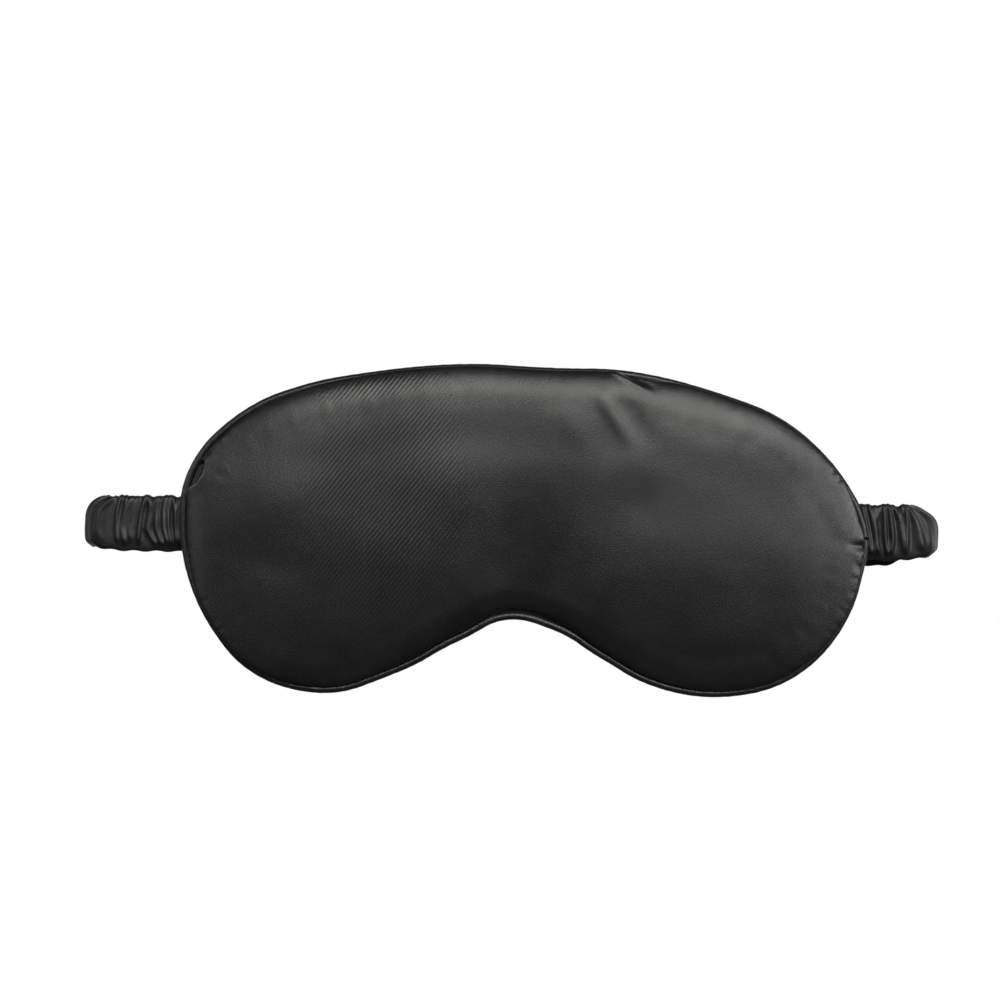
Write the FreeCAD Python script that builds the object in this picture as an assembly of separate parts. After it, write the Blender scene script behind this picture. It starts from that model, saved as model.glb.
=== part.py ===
import FreeCAD, Part
import math
import os
from FreeCAD import Vector

# A padded satin sleep mask with a piped edge and a ruched elastic head strap.
# Millimetres. +X is right and +Z is up as the front is seen, +Y points at the wearer's face.
# The origin is in the middle of the mask, on the plane where the back pad meets the face.

# Pad
FRONT_BULGE = 7.0  # seam plane to the crest of the front
BACK_BULGE = 5.0  # seam plane to the crest of the back
FRONT_RUN = 14.0  # how far in from the seam the front becomes level
BACK_RUN = 13.0
DOME_STEPS = 5  # sections between the seam and the crest
SATIN = 0.4
LINER = 0.3
ALLOWANCE = 6.0  # seam allowance, turned inwards
SEAM_Y = -BACK_BULGE

# Piping
PIPING_D = 2.5
CORD_D = 1.7
CORD_BORE_D = 1.8
FLANGE = 0.6  # the two layers of the bias strip
FLANGE_OVERLAP = 0.4  # how far the flange runs into the tube
PIPING_GAP = 0.3  # between the ends, where they butt together at the right

# Thread
THREAD_D = 0.25
STITCH_PITCH = 3.0
STITCH_LENGTH = 2.3
STITCH_INSET = 1.2  # in from the edge of the panels
CLOSING_PITCH = 4.0
CLOSING_SPAN = (-45.0, 15.0)  # x, along the top, where the mask was turned right side out
CLOSING_INSET = 2.3
CLOSING_RISE = 0.95  # above the seam plane, in the groove behind the piping
STITCH_ROOM = 0.3  # height kept free of wadding over the seam's stitches

# Strap
ELASTIC = (15.0, 1.2)  # width, thickness
ELASTIC_ROOM = (15.3, 1.3)
SLEEVE = (17.8, 4.0)  # ruched
TAIL = (17.8, 1.9)  # pressed flat where it is sewn in
TAIL_DEPTH = 9.0  # inwards from the edge of the piping
TAIL_SHOWS = 0.4  # outwards past the edge of the piping
TAIL_GAP = 0.05  # between the piping and the sewn-in end
POCKET_GAP = 0.2  # round the sewn-in end, in the pad
POCKET_END = 1.0  # beyond the sewn-in end, in the pad
STRAP_Z = 0.6
EDGE_X = 105.6  # edge of the piping beside the strap
STRAP_LEFT_X = -134.1  # centre line, at the outer end of each turn
STRAP_RIGHT_X = 126.5
TURN_R = 6.5
STRAP_BACK_Y = 36.0  # centre line, in the middle behind the mask
BACK_HALF = 62.0  # half of the stretch that moves as the middle of the strap
BODY_GAP = 0.3  # between strap sections that move apart
TACK_HALF = 6.5
TACK_STEPS = 8
TACK_FROM_END = 2.0
TACK_WIDTH = 2.5
TACK_GAP = 0.38  # between one bar of the zigzag and the next

# Outer edge of the piping, (x, z), anticlockwise from the butt join at the right.
EDGE_POINTS = [
    (105.7, -1.2),
    (103.7, 7.0),
    (99.5, 14.8),
    (86.2, 29.8),
    (50.0, 45.6),
    (33.0, 49.1),
    (6.0, 50.1),
    (-18.0, 50.9),
    (-44.0, 48.6),
    (-69.0, 43.6),
    (-80.0, 39.5),
    (-91.2, 32.2),
    (-99.0, 24.3),
    (-104.8, 12.2),
    (-105.6, 1.5),
    (-102.9, -15.4),
    (-95.9, -30.5),
    (-85.3, -42.8),
    (-62.0, -50.6),
    (-37.0, -43.5),
    (-20.0, -34.4),
    (-3.5, -27.4),
    (10.0, -30.7),
    (24.5, -39.2),
    (37.0, -46.1),
    (60.0, -50.4),
    (81.0, -45.4),
    (101.3, -22.0),
    (103.9, -13.0),
]

# Shapes that only cut or keep a region reach this far past it
PAST = 5.0
TALL = 40.0
WEDGE_REACH = 60.0
WEDGE_SCALE = 1.5

# Places that follow from the sizes above
PANEL_INSET = PIPING_D
STRAP_Y = SEAM_Y + (PIPING_D + TAIL[1]) / 2 + TAIL_GAP
TAIL_OUTER_X = EDGE_X + TAIL_SHOWS
ALONG_Y = Vector(0, 1, 0)


# Outline: a chain of tangent arcs, so that every inset of it is exact


def plane(x, z):
    return Vector(x, 0, z)


def tangent_through(before, here, after):
    """Direction at here of the circle through three points."""
    first = here - before
    second = after - here
    return (first * (second.Length / first.Length) + second * (first.Length / second.Length)).normalize()


def biarc_joint(start, start_way, end, end_way):
    """The point where two tangent arcs meet that join start to end."""
    chord = end - start
    ways = start_way + end_way
    spread = 2 * (1 - start_way.dot(end_way))
    if spread < 1e-9:
        reach = chord.dot(chord) / (4 * chord.dot(start_way))
    else:
        across = chord.dot(ways)
        reach = (math.sqrt(across**2 + spread * chord.dot(chord)) - across) / spread
    return (start + end + (start_way - end_way) * reach) * 0.5


def reflected(way, chord):
    """Direction at the far end of an arc that starts along way and has this chord."""
    unit = chord / chord.Length
    return (unit * (2 * unit.dot(way)) - way).normalize()


def arc_middle(start, way, end):
    """The point half way along the arc from start to end that starts along way."""
    chord = end - start
    unit = chord / chord.Length
    side = Vector(unit.z, 0, -unit.x)
    half_turn = math.atan2(way.dot(side), way.dot(unit))
    return (start + end) * 0.5 + side * (chord.Length / 2 * math.tan(half_turn / 2))


def outward(way):
    return Vector(way.z, 0, -way.x)


def outline_arcs():
    """Each arc as its start, middle and end, each a (point, outward normal) pair."""
    points = [plane(x, z) for x, z in EDGE_POINTS]
    count = len(points)
    ways = [tangent_through(points[i - 1], points[i], points[(i + 1) % count]) for i in range(count)]
    arcs = []
    for i in range(count):
        after = (i + 1) % count
        joint = biarc_joint(points[i], ways[i], points[after], ways[after])
        joint_way = reflected(ways[i], joint - points[i])
        for start, way, end, end_way in (
            (points[i], ways[i], joint, joint_way),
            (joint, joint_way, points[after], ways[after]),
        ):
            middle = arc_middle(start, way, end)
            middle_way = (end - start).normalize()
            arcs.append(((start, outward(way)), (middle, outward(middle_way)), (end, outward(end_way))))
    return arcs


ARCS = outline_arcs()


def at_inset(place, inset, y):
    point, normal = place
    return point - normal * inset + ALONG_Y * y


def outline_wire(inset, y):
    edges = []
    for arc in ARCS:
        start, middle, end = (at_inset(place, inset, y) for place in arc)
        sagitta = (middle - (start + end) * 0.5).Length
        curve = Part.Arc(start, middle, end) if sagitta > 0.01 else Part.LineSegment(start, end)
        edges.append(curve.toShape())
    return Part.Wire(edges)


def plate(inset, y_from, y_to):
    """A flat piece with the mask's outline, inset from the edge of the piping."""
    return Part.Face(outline_wire(inset, y_from)).extrude(ALONG_Y * (y_to - y_from))


def ring(outer_inset, inner_inset, y_from, y_to):
    return plate(outer_inset, y_from, y_to).cut(plate(inner_inset, y_from, y_to))


def dome(y_rim, y_crest, inset, run, side):
    """A crowned cushion: rises from its rim along a quarter of an ellipse to a level crest."""
    height = abs(y_crest - y_rim)
    wires = []
    for step in range(DOME_STEPS + 1):
        angle = math.pi / 2 * step / DOME_STEPS
        wires.append(outline_wire(inset + run * (1 - math.cos(angle)), y_rim + side * height * math.sin(angle)))
    return Part.makeLoft(wires, True, False)


# Pad: satin shells with their allowances turned in, wadding, and a light-proof liner between


def panel(side, y_seam_face, bulge, run):
    """A satin shell, side -1 for the front and 1 for the back, starting at its face of the seam."""
    y_crest = SEAM_Y + side * bulge
    outer = dome(y_seam_face, y_crest, PANEL_INSET, run, side)
    y_allowance = y_seam_face + side * SATIN
    inner = dome(y_allowance, y_crest - side * SATIN, PANEL_INSET + SATIN, run, side)
    opening = plate(PANEL_INSET + ALLOWANCE, y_seam_face, y_allowance)
    return outer.cut(inner).cut(opening)


def wadding(side, y_seam_face, bulge, run):
    """Fills the shell from just above the seam's stitches."""
    y_bottom = y_seam_face + side * SATIN
    filling = dome(y_bottom, SEAM_Y + side * (bulge - SATIN), PANEL_INSET + SATIN, run, side)
    stitch_room = plate(0, *sorted((y_bottom - side, y_bottom + side * STITCH_ROOM)))
    return filling.cut(stitch_room)


FRONT_FACE_Y = SEAM_Y - FLANGE / 2 - LINER
BACK_FACE_Y = SEAM_Y + FLANGE / 2


def tail_pocket(side):
    """The slot that the strap's sewn end takes up in the back panel and wadding."""
    depth = TAIL_DEPTH + POCKET_END
    y_to = STRAP_Y + TAIL[1] / 2 + THREAD_D + POCKET_GAP
    x_from = EDGE_X - depth if side > 0 else -EDGE_X - PAST
    corner = Vector(x_from, BACK_FACE_Y, STRAP_Z - TAIL[0] / 2 - POCKET_GAP)
    return Part.makeBox(depth + PAST, y_to - BACK_FACE_Y, TAIL[0] + 2 * POCKET_GAP, corner)


def with_tail_pockets(shape):
    return shape.cut(tail_pocket(-1)).cut(tail_pocket(1))


def back_panel():
    return with_tail_pockets(panel(1, BACK_FACE_Y, BACK_BULGE, BACK_RUN))


def back_wadding():
    return with_tail_pockets(wadding(1, BACK_FACE_Y, BACK_BULGE, BACK_RUN))


def blackout_liner():
    return plate(PANEL_INSET + SATIN, FRONT_FACE_Y, FRONT_FACE_Y + LINER)


# Piping: a bias strip folded round a cord, its flange caught in the seam


def edge_tube(diameter):
    """A round bar that follows the mask's edge, one stretch for each arc of the outline."""
    stretches = []
    for edge in outline_wire(PIPING_D / 2, SEAM_Y).Edges:
        start = edge.valueAt(edge.FirstParameter)
        way = edge.tangentAt(edge.FirstParameter)
        profile = Part.Wire([Part.makeCircle(diameter / 2, start, way)])
        stretches.append(Part.Wire([edge]).makePipeShell([profile], True, False))
    return stretches[0].multiFuse(stretches[1:]).removeSplitter()


def piping_break():
    """The gap where the two ends of the piping butt together."""
    x, z = EDGE_POINTS[0]
    deep = PIPING_D + ALLOWANCE + PAST
    corner = Vector(x - PIPING_D - ALLOWANCE, SEAM_Y - PAST, z - PIPING_GAP / 2)
    return Part.makeBox(deep, 2 * PAST, PIPING_GAP, corner)


def piping_cover():
    tube = edge_tube(PIPING_D)
    flange = ring(PIPING_D - FLANGE_OVERLAP, PANEL_INSET + ALLOWANCE, SEAM_Y - FLANGE / 2, SEAM_Y + FLANGE / 2)
    return tube.fuse(flange).cut(edge_tube(CORD_BORE_D)).cut(piping_break()).removeSplitter()


def piping_cord():
    return edge_tube(CORD_D).cut(piping_break())


# Stitches: each a short straight run of thread


def thread(start, end):
    return Part.makeCylinder(THREAD_D / 2, (end - start).Length, start, end - start)


def places_along(inset, y, pitch):
    """Evenly spaced (point, direction) pairs along an inset outline."""
    wire = outline_wire(inset, y)
    count = int(wire.Length / pitch)
    points = wire.discretize(Number=count + 1)[:-1]
    return [(points[i], (points[(i + 1) % count] - points[i - 1]).normalize()) for i in range(count)]


def beside_strap(point):
    return abs(point.x) < EDGE_X - 2 * TAIL_DEPTH or abs(point.z - STRAP_Z) > TAIL[0] / 2 + STITCH_LENGTH


def stitch_row(inset, y, pitch, length, wanted):
    stitches = []
    for point, way in places_along(inset, y, pitch):
        if wanted(point):
            stitches.append(thread(point - way * length / 2, point + way * length / 2))
    return stitches


def seam_stitches():
    """Needle thread on the front allowance and bobbin thread on the back one."""
    inset = PANEL_INSET + STITCH_INSET
    y_front = FRONT_FACE_Y - SATIN - THREAD_D / 2
    y_back = BACK_FACE_Y + SATIN + THREAD_D / 2
    rows = stitch_row(inset, y_front, STITCH_PITCH, STITCH_LENGTH, lambda point: True)
    rows += stitch_row(inset, y_back, STITCH_PITCH, STITCH_LENGTH, beside_strap)
    return Part.makeCompound(rows)


def closing_stitches():
    """Slip stitches in the groove behind the piping, where the turning gap was closed."""

    def in_gap(point):
        return point.z > 0 and CLOSING_SPAN[0] < point.x < CLOSING_SPAN[1]

    y = SEAM_Y + CLOSING_RISE
    return Part.makeCompound(stitch_row(CLOSING_INSET, y, CLOSING_PITCH, STITCH_LENGTH, in_gap))


def strap_tack(side):
    """A zigzag that holds one sewn end of the strap."""
    x_near = side * (EDGE_X - TAIL_DEPTH + TACK_FROM_END)
    x_far = x_near + side * TACK_WIDTH
    y = STRAP_Y + TAIL[1] / 2 + THREAD_D / 2
    bars = []
    for step in range(TACK_STEPS):
        z_low = STRAP_Z + TACK_HALF * (2 * step / TACK_STEPS - 1)
        z_high = z_low + 2 * TACK_HALF / TACK_STEPS - TACK_GAP
        ends = [Vector(x_near, y, z_low), Vector(x_far, y, z_high)]
        if step % 2:
            ends = [Vector(x_far, y, z_low), Vector(x_near, y, z_high)]
        bars.append(thread(*ends))
    return Part.makeCompound(bars)


# Strap: out of each side seam, round a tight turn, then in one long bow behind the mask


def bow():
    """Middle, centre height and radius of the bow, tangent to both turns."""
    x_middle = (STRAP_LEFT_X + STRAP_RIGHT_X) / 2
    half_span = (STRAP_RIGHT_X - STRAP_LEFT_X) / 2 - TURN_R
    depth = STRAP_BACK_Y - STRAP_Y - 2 * TURN_R
    drop = (half_span**2 - depth**2) / (2 * depth)
    return x_middle, half_span, drop, depth + TURN_R + drop


def slab(centre_x, centre_y, radius, width, thickness):
    """A flat strip bent into a full hoop, on edge about a vertical axis."""
    base = Vector(centre_x, centre_y, STRAP_Z - width / 2)
    outer = Part.makeCylinder(radius + thickness / 2, width, base)
    return outer.cut(Part.makeCylinder(radius - thickness / 2, width, base))


def wedge(centre_x, centre_y, directions, reach):
    """A tall wedge about a vertical axis, between a list of directions in order."""
    base = Vector(centre_x, centre_y, STRAP_Z - TALL / 2)
    corners = [base] + [base + Vector(dx, dy, 0) * reach for dx, dy in directions] + [base]
    return Part.Face(Part.makePolygon(corners)).extrude(Vector(0, 0, TALL))


def side_strip(side, width, thickness):
    """One side of the strap: straight out of the seam, the turn, and its share of the bow."""
    x_middle, half_span, drop, bow_r = bow()
    turn_x = x_middle + side * half_span
    turn_y = STRAP_Y + TURN_R
    bow_y = turn_y - drop
    start_x = side * (TAIL_OUTER_X + BODY_GAP)
    x_low = min(start_x, turn_x)
    straight = Part.makeBox(
        abs(turn_x - start_x), thickness, width, Vector(x_low, STRAP_Y - thickness / 2, STRAP_Z - width / 2)
    )
    tangent = (side * half_span / WEDGE_REACH, drop / WEDGE_REACH)
    turn = slab(turn_x, turn_y, TURN_R, width, thickness)
    turn = turn.common(wedge(turn_x, turn_y, [(0, -1), (side, -1), (side, 1), tangent], WEDGE_REACH))
    share = slab(x_middle, bow_y, bow_r, width, thickness)
    half_back = BACK_HALF + BODY_GAP / 2
    inner = (side * half_back, math.sqrt(bow_r**2 - half_back**2))
    share = share.common(wedge(x_middle, bow_y, [inner, (side * half_span, drop)], WEDGE_SCALE))
    return straight.fuse(turn).fuse(share).removeSplitter()


def back_strip(width, thickness):
    """The middle of the strap, which stretches away from the mask."""
    x_middle, half_span, drop, bow_r = bow()
    bow_y = STRAP_Y + TURN_R - drop
    half = BACK_HALF - BODY_GAP / 2
    up = math.sqrt(bow_r**2 - half**2)
    return slab(x_middle, bow_y, bow_r, width, thickness).common(
        wedge(x_middle, bow_y, [(half, up), (-half, up)], WEDGE_SCALE)
    )


def tail_strip(side, width, thickness):
    """One end of the strap, caught in the side seam."""
    x_inner = side * (EDGE_X - TAIL_DEPTH)
    x_low = min(x_inner, side * TAIL_OUTER_X)
    size = abs(TAIL_OUTER_X - EDGE_X + TAIL_DEPTH)
    return Part.makeBox(size, thickness, width, Vector(x_low, STRAP_Y - thickness / 2, STRAP_Z - width / 2))


def strap_nodes():
    """The elastic and its sleeve, each in the five stretches that move differently."""
    nodes = {}
    for name, side in (("left", -1), ("right", 1)):
        nodes["elastic_tail_" + name] = tail_strip(side, *ELASTIC)
        nodes["sleeve_tail_" + name] = tail_strip(side, *TAIL).cut(tail_strip(side, *ELASTIC_ROOM))
        nodes["elastic_side_" + name] = side_strip(side, *ELASTIC)
        nodes["sleeve_side_" + name] = side_strip(side, *SLEEVE).cut(side_strip(side, *ELASTIC_ROOM))
        nodes["strap_tack_" + name] = strap_tack(side)
    nodes["elastic_back"] = back_strip(*ELASTIC)
    nodes["sleeve_back"] = back_strip(*SLEEVE).cut(back_strip(*ELASTIC_ROOM))
    return nodes


def all_nodes():
    nodes = {
        "front_panel": panel(-1, FRONT_FACE_Y, FRONT_BULGE, FRONT_RUN),
        "front_wadding": wadding(-1, FRONT_FACE_Y, FRONT_BULGE, FRONT_RUN),
        "blackout_liner": blackout_liner(),
        "back_wadding": back_wadding(),
        "back_panel": back_panel(),
        "piping_cover": piping_cover(),
        "piping_cord": piping_cord(),
        "seam_stitches": seam_stitches(),
        "closing_stitches": closing_stitches(),
    }
    nodes.update(strap_nodes())
    return nodes


os.makedirs("parts", exist_ok=True)
for name, shape in all_nodes().items():
    solids = len(shape.Solids)
    print(f"{name}: {solids} solid(s), {shape.Volume:.1f} mm3, valid {shape.isValid()}")
    shape.exportStep(f"parts/{name}.step")
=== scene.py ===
import math

import bmesh
import bpy
import numpy as np
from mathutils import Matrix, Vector, geometry, kdtree


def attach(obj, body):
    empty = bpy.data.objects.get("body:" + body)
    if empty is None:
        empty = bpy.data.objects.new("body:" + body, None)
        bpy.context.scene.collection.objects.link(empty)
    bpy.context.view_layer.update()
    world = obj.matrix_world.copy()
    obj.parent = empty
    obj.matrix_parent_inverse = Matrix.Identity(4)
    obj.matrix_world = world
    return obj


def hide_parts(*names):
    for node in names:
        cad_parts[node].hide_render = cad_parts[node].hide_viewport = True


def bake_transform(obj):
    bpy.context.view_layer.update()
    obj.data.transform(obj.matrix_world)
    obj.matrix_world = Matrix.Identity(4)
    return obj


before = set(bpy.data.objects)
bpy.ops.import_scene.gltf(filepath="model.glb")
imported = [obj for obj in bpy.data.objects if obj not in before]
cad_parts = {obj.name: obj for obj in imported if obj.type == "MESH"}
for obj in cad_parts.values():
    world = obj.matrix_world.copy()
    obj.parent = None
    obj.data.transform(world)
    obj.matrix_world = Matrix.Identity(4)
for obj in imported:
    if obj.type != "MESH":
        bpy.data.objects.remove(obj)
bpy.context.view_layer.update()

# A black satin sleep mask: two padded panels, a piped edge and a ruched elastic strap.
# Lengths here are millimetres until a mesh is made, in the frame of the CAD model:
# +X is right and +Z up as the front is seen, and the front faces -Y.

MM = 0.001
RANDOM = np.random.default_rng(7)

# Outer edge of the piping, (x, z), anticlockwise from the right side, as in the CAD model.
EDGE_POINTS = [
    (105.7, -1.2),
    (103.7, 7.0),
    (99.5, 14.8),
    (86.2, 29.8),
    (50.0, 45.6),
    (33.0, 49.1),
    (6.0, 50.1),
    (-18.0, 50.9),
    (-44.0, 48.6),
    (-69.0, 43.6),
    (-80.0, 39.5),
    (-91.2, 32.2),
    (-99.0, 24.3),
    (-104.8, 12.2),
    (-105.6, 1.5),
    (-102.9, -15.4),
    (-95.9, -30.5),
    (-85.3, -42.8),
    (-62.0, -50.6),
    (-37.0, -43.5),
    (-20.0, -34.4),
    (-3.5, -27.4),
    (10.0, -30.7),
    (24.5, -39.2),
    (37.0, -46.1),
    (60.0, -50.4),
    (81.0, -45.4),
    (101.3, -22.0),
    (103.9, -13.0),
]

# Pad
SEAM_Y = -5.0
FRONT_HEIGHT = 6.8
BACK_HEIGHT = 4.6
EDGE_FULLNESS = 1.1  # extra height of the pad near its edge, where it rolls over the piping
RIM_INSET = 2.5
RIM_GAP = 0.35  # from the middle of the seam to each panel's rim
EDGE_STEP = 2.3  # between the points of the coarse mesh along the edge
GRID_STEP = 2.8
# Each ring of the coarse mesh: how far in it lies, and its share of the roll over the piping
RINGS = [
    (2.5, 0.0),
    (2.6, 0.05),
    (2.95, 0.62),
    (3.5, 0.95),
    (4.3, 0.98),
    (5.4, 0.75),
    (6.9, 0.35),
    (8.8, 0.1),
]
SPARE_LENGTH = 0.003  # share by which a panel's cloth is longer than its form
ALLOWANCE = 6.0  # width of the turned-in seam allowance
WADDING_INSET = 3.0  # how much smaller the wadding is than its panel, at the edge
WADDING_SHARE = 0.6  # of the panel's height
WADDING_GAP = 1.0  # from the middle of the seam to the wadding

# Piping
PIPING_R = 1.25
CORD_R = 0.85

# Strap
STRAP_Z = 0.6
STRAP_Y = -2.75
TURN_R = 6.5
STRAP_LEFT_X = -134.1  # centre line, at the outer end of each turn
STRAP_RIGHT_X = 126.5
STRAP_BACK_Y = 36.0
BOW_X = (STRAP_LEFT_X + STRAP_RIGHT_X) / 2
BOW_HALF_SPAN = (STRAP_RIGHT_X - STRAP_LEFT_X) / 2 - TURN_R
BOW_DEPTH = STRAP_BACK_Y - STRAP_Y - 2 * TURN_R
BOW_DROP = (BOW_HALF_SPAN**2 - BOW_DEPTH**2) / (2 * BOW_DEPTH)
BOW_R = BOW_DEPTH + TURN_R + BOW_DROP
BOW_Y = STRAP_Y + TURN_R - BOW_DROP
TURN_Y = STRAP_Y + TURN_R
BOW_ANGLE = math.atan2(TURN_Y - BOW_Y, BOW_HALF_SPAN)
TURN_LENGTH = TURN_R * (BOW_ANGLE + math.pi / 2)
TAIL_X = 97.0  # the sewn-in end
EDGE_X = 105.0  # where the strap comes out of the seam
SLEEVE_HALF = 8.9
ELASTIC_HALF = (7.5, 0.6)  # half width and half thickness
ROOM = (7.65, 0.65)  # the same, of the space inside the sleeve


# Outline: a chain of tangent arcs through the edge points, as complex numbers x + iz


def dot(a, b):
    return (a * b.conjugate()).real


def tangent_through(before, here, after):
    first, second = here - before, after - here
    way = first * abs(second) / abs(first) + second * abs(first) / abs(second)
    return way / abs(way)


def arc_joint(start, start_way, end, end_way):
    """The point where two tangent arcs meet that join start to end."""
    chord = end - start
    spread = 2 * (1 - dot(start_way, end_way))
    across = dot(chord, start_way + end_way)
    if spread < 1e-9:
        reach = dot(chord, chord) / (2 * across)
    else:
        reach = (math.sqrt(across**2 + spread * dot(chord, chord)) - across) / spread
    return (start + end + (start_way - end_way) * reach) / 2


def outline_arcs():
    """Each arc as its start, its direction there, and its end."""
    points = [complex(x, z) for x, z in EDGE_POINTS]
    count = len(points)
    ways = [tangent_through(points[i - 1], points[i], points[(i + 1) % count]) for i in range(count)]
    arcs = []
    for i in range(count):
        j = (i + 1) % count
        joint = arc_joint(points[i], ways[i], points[j], ways[j])
        chord = joint - points[i]
        joint_way = chord * chord / (abs(chord) ** 2 * ways[i])
        arcs.append((points[i], ways[i], joint))
        arcs.append((joint, joint_way, points[j]))
    return arcs


def fine_outline():
    """Dense points of the outer edge, their directions, and the length of the edge up to each."""
    points, ways = [], []
    for start, way, end in outline_arcs():
        chord = end - start
        half_turn = np.angle(chord / way)
        steps = max(2, int(abs(chord) / 0.1))
        share = np.arange(steps) / steps
        reach = share if abs(half_turn) < 1e-6 else np.sin(share * half_turn) / math.sin(half_turn)
        points.append(start + way * np.exp(1j * share * half_turn) * abs(chord) * reach)
        ways.append(way * np.exp(2j * share * half_turn))
    points = np.concatenate(points)
    ways = np.concatenate(ways)
    lengths = np.concatenate([[0], np.cumsum(abs(np.diff(np.append(points, points[0]))))])
    return points, ways, lengths


FINE_POINTS, FINE_WAYS, FINE_LENGTHS = fine_outline()
EDGE_LENGTH = FINE_LENGTHS[-1]


def edge_places(step):
    """Evenly spaced points of the outer edge and their outward normals."""
    count = round(EDGE_LENGTH / step)
    nearest = np.searchsorted(FINE_LENGTHS, np.arange(count) * EDGE_LENGTH / count)
    return FINE_POINTS[nearest], FINE_WAYS[nearest] * -1j


EDGE_TREE = kdtree.KDTree(len(FINE_POINTS))
for index, point in enumerate(FINE_POINTS):
    EDGE_TREE.insert((point.real, 0, point.imag), index)
EDGE_TREE.balance()


def edge_coordinates(points):
    """For points (x, y, z): the distance along the edge, how far in from it, and the outward normal."""
    nearest = np.array([EDGE_TREE.find((x, 0, z))[1] for x, y, z in points])
    normals = FINE_WAYS[nearest] * -1j
    inset = ((FINE_POINTS[nearest] - (points[:, 0] + 1j * points[:, 2])) * normals.conj()).real
    return FINE_LENGTHS[nearest], inset, normals


def smooth_step(low, high, value):
    share = np.clip((value - low) / (high - low), 0, 1)
    return share * share * (3 - 2 * share)


# Meshes


def make_piece(name, points, faces):
    """A smooth-shaded mesh object from points in millimetres."""
    mesh = bpy.data.meshes.new(name)
    mesh.from_pydata((np.asarray(points) * MM).tolist(), [], faces)
    mesh.validate()
    mesh.update()
    piece = bpy.data.objects.new(name, mesh)
    bpy.context.scene.collection.objects.link(piece)
    mesh.polygons.foreach_set("use_smooth", [True] * len(mesh.polygons))
    return piece


def positions(mesh):
    co = np.empty(len(mesh.vertices) * 3)
    mesh.vertices.foreach_get("co", co)
    return co.reshape(-1, 3) / MM


def set_positions(mesh, points):
    mesh.vertices.foreach_set("co", (points * MM).ravel())
    mesh.update()


def vertex_normals(mesh):
    normals = np.empty(len(mesh.vertices) * 3)
    mesh.vertex_normals.foreach_get("vector", normals)
    return normals.reshape(-1, 3)


def loft_faces(rings, around):
    """Quads between rings of points that each go all the way round."""
    faces = []
    for ring in range(rings - 1):
        here, there = ring * around, (ring + 1) * around
        for i in range(around):
            j = (i + 1) % around
            faces.append((here + i, here + j, there + j, there + i))
    return faces


def capped_faces(rings, around):
    """The same quads, and a flat face over each end."""
    faces = loft_faces(rings, around)
    faces.append(tuple(range(around))[::-1])
    faces.append(tuple((rings - 1) * around + i for i in range(around)))
    return faces


def subdivided(piece, levels):
    """The piece with its mesh subdivided."""
    modifier = piece.modifiers.new("subdivide", "SUBSURF")
    modifier.levels = levels
    depsgraph = bpy.context.evaluated_depsgraph_get()
    mesh = bpy.data.meshes.new_from_object(piece.evaluated_get(depsgraph))
    piece.modifiers.clear()
    piece.data = mesh
    return piece


# Pad


def flat_panel():
    """The panel's coarse mesh laid flat: rings of quads at the edge, an even grid of triangles inside."""
    edge, normals = edge_places(EDGE_STEP)
    count = len(edge)
    rings = [edge - normals * inset for inset, roll in RINGS]
    points = np.concatenate(rings)
    faces = loft_faces(len(RINGS), count)
    inner = rings[-1]
    deepest = RINGS[-1][0]
    x, z = np.meshgrid(np.arange(-110, 110, GRID_STEP), np.arange(-60, 60, GRID_STEP * math.sqrt(0.75)))
    x[1::2] += GRID_STEP / 2
    grid = np.column_stack([x.ravel(), np.zeros(x.size), z.ravel()])
    inset = edge_coordinates(grid)[1]
    grid = grid[inset > deepest + GRID_STEP * 0.75]
    flat = [Vector((p.real, p.imag)) for p in inner] + [Vector((p[0], p[2])) for p in grid]
    bound = [(i, (i + 1) % count) for i in range(count)]
    found = geometry.delaunay_2d_cdt(flat, bound, [], 1, 1e-4)
    base = len(points) - count
    points = np.concatenate([points[:base], [complex(*p) for p in found[0]]])
    faces += [tuple(base + i for i in face) for face in found[2]]
    rolls = np.zeros(len(points))
    for number, (inset, roll) in enumerate(RINGS):
        rolls[number * count : (number + 1) * count] = roll
    return points, faces, rolls, count


def pressed_up(points, faces, rim_count):
    """Height share of each point of a membrane held at its rim and pressed up from below, 0 to 1."""
    pairs = np.array([(face[i - 1], face[i]) for face in faces for i in range(len(face))])
    pairs = np.unique(np.sort(pairs, axis=1), axis=0)
    a, b = pairs[:, 0], pairs[:, 1]
    weight = 1 / abs(points[a] - points[b])
    total = len(points)
    spread = np.bincount(a, weight, total) + np.bincount(b, weight, total)
    load = np.zeros(total)
    for face in faces:
        corners = points[list(face)]
        area = abs(np.imag(np.sum(corners.conj() * np.roll(corners, -1)))) / 2
        load[list(face)] += area / len(face)
    free = np.arange(total) >= rim_count

    def pull(height):
        sums = np.bincount(a, weight * height[b], total) + np.bincount(b, weight * height[a], total)
        return np.where(free, spread * height - sums, 0)

    height = np.zeros(total)
    rest = np.where(free, load, 0)
    step = rest.copy()
    size = rest @ rest
    # Conjugate gradients
    for _ in range(400):
        pulled = pull(step)
        amount = size / (step @ pulled)
        height += amount * step
        rest = rest - amount * pulled
        new_size = rest @ rest
        if new_size < 1e-12:
            break
        step = rest + step * (new_size / size)
        size = new_size
    return height / height.max()


def evened_out(mesh, moved, pinned, rounds=34):
    """Averages each point's movement with its neighbours', so that few wrinkles are left."""
    edges = np.empty(len(mesh.edges) * 2, int)
    mesh.edges.foreach_get("vertices", edges)
    a, b = edges.reshape(-1, 2).T
    total = len(moved)
    neighbours = np.bincount(a, minlength=total) + np.bincount(b, minlength=total)
    for _ in range(rounds):
        sums = np.stack(
            [
                np.bincount(a, moved[b, axis], total) + np.bincount(b, moved[a, axis], total)
                for axis in range(3)
            ],
            axis=1,
        )
        moved = (moved + sums / neighbours[:, None]) / 2
        moved[pinned] = 0
    return moved


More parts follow.
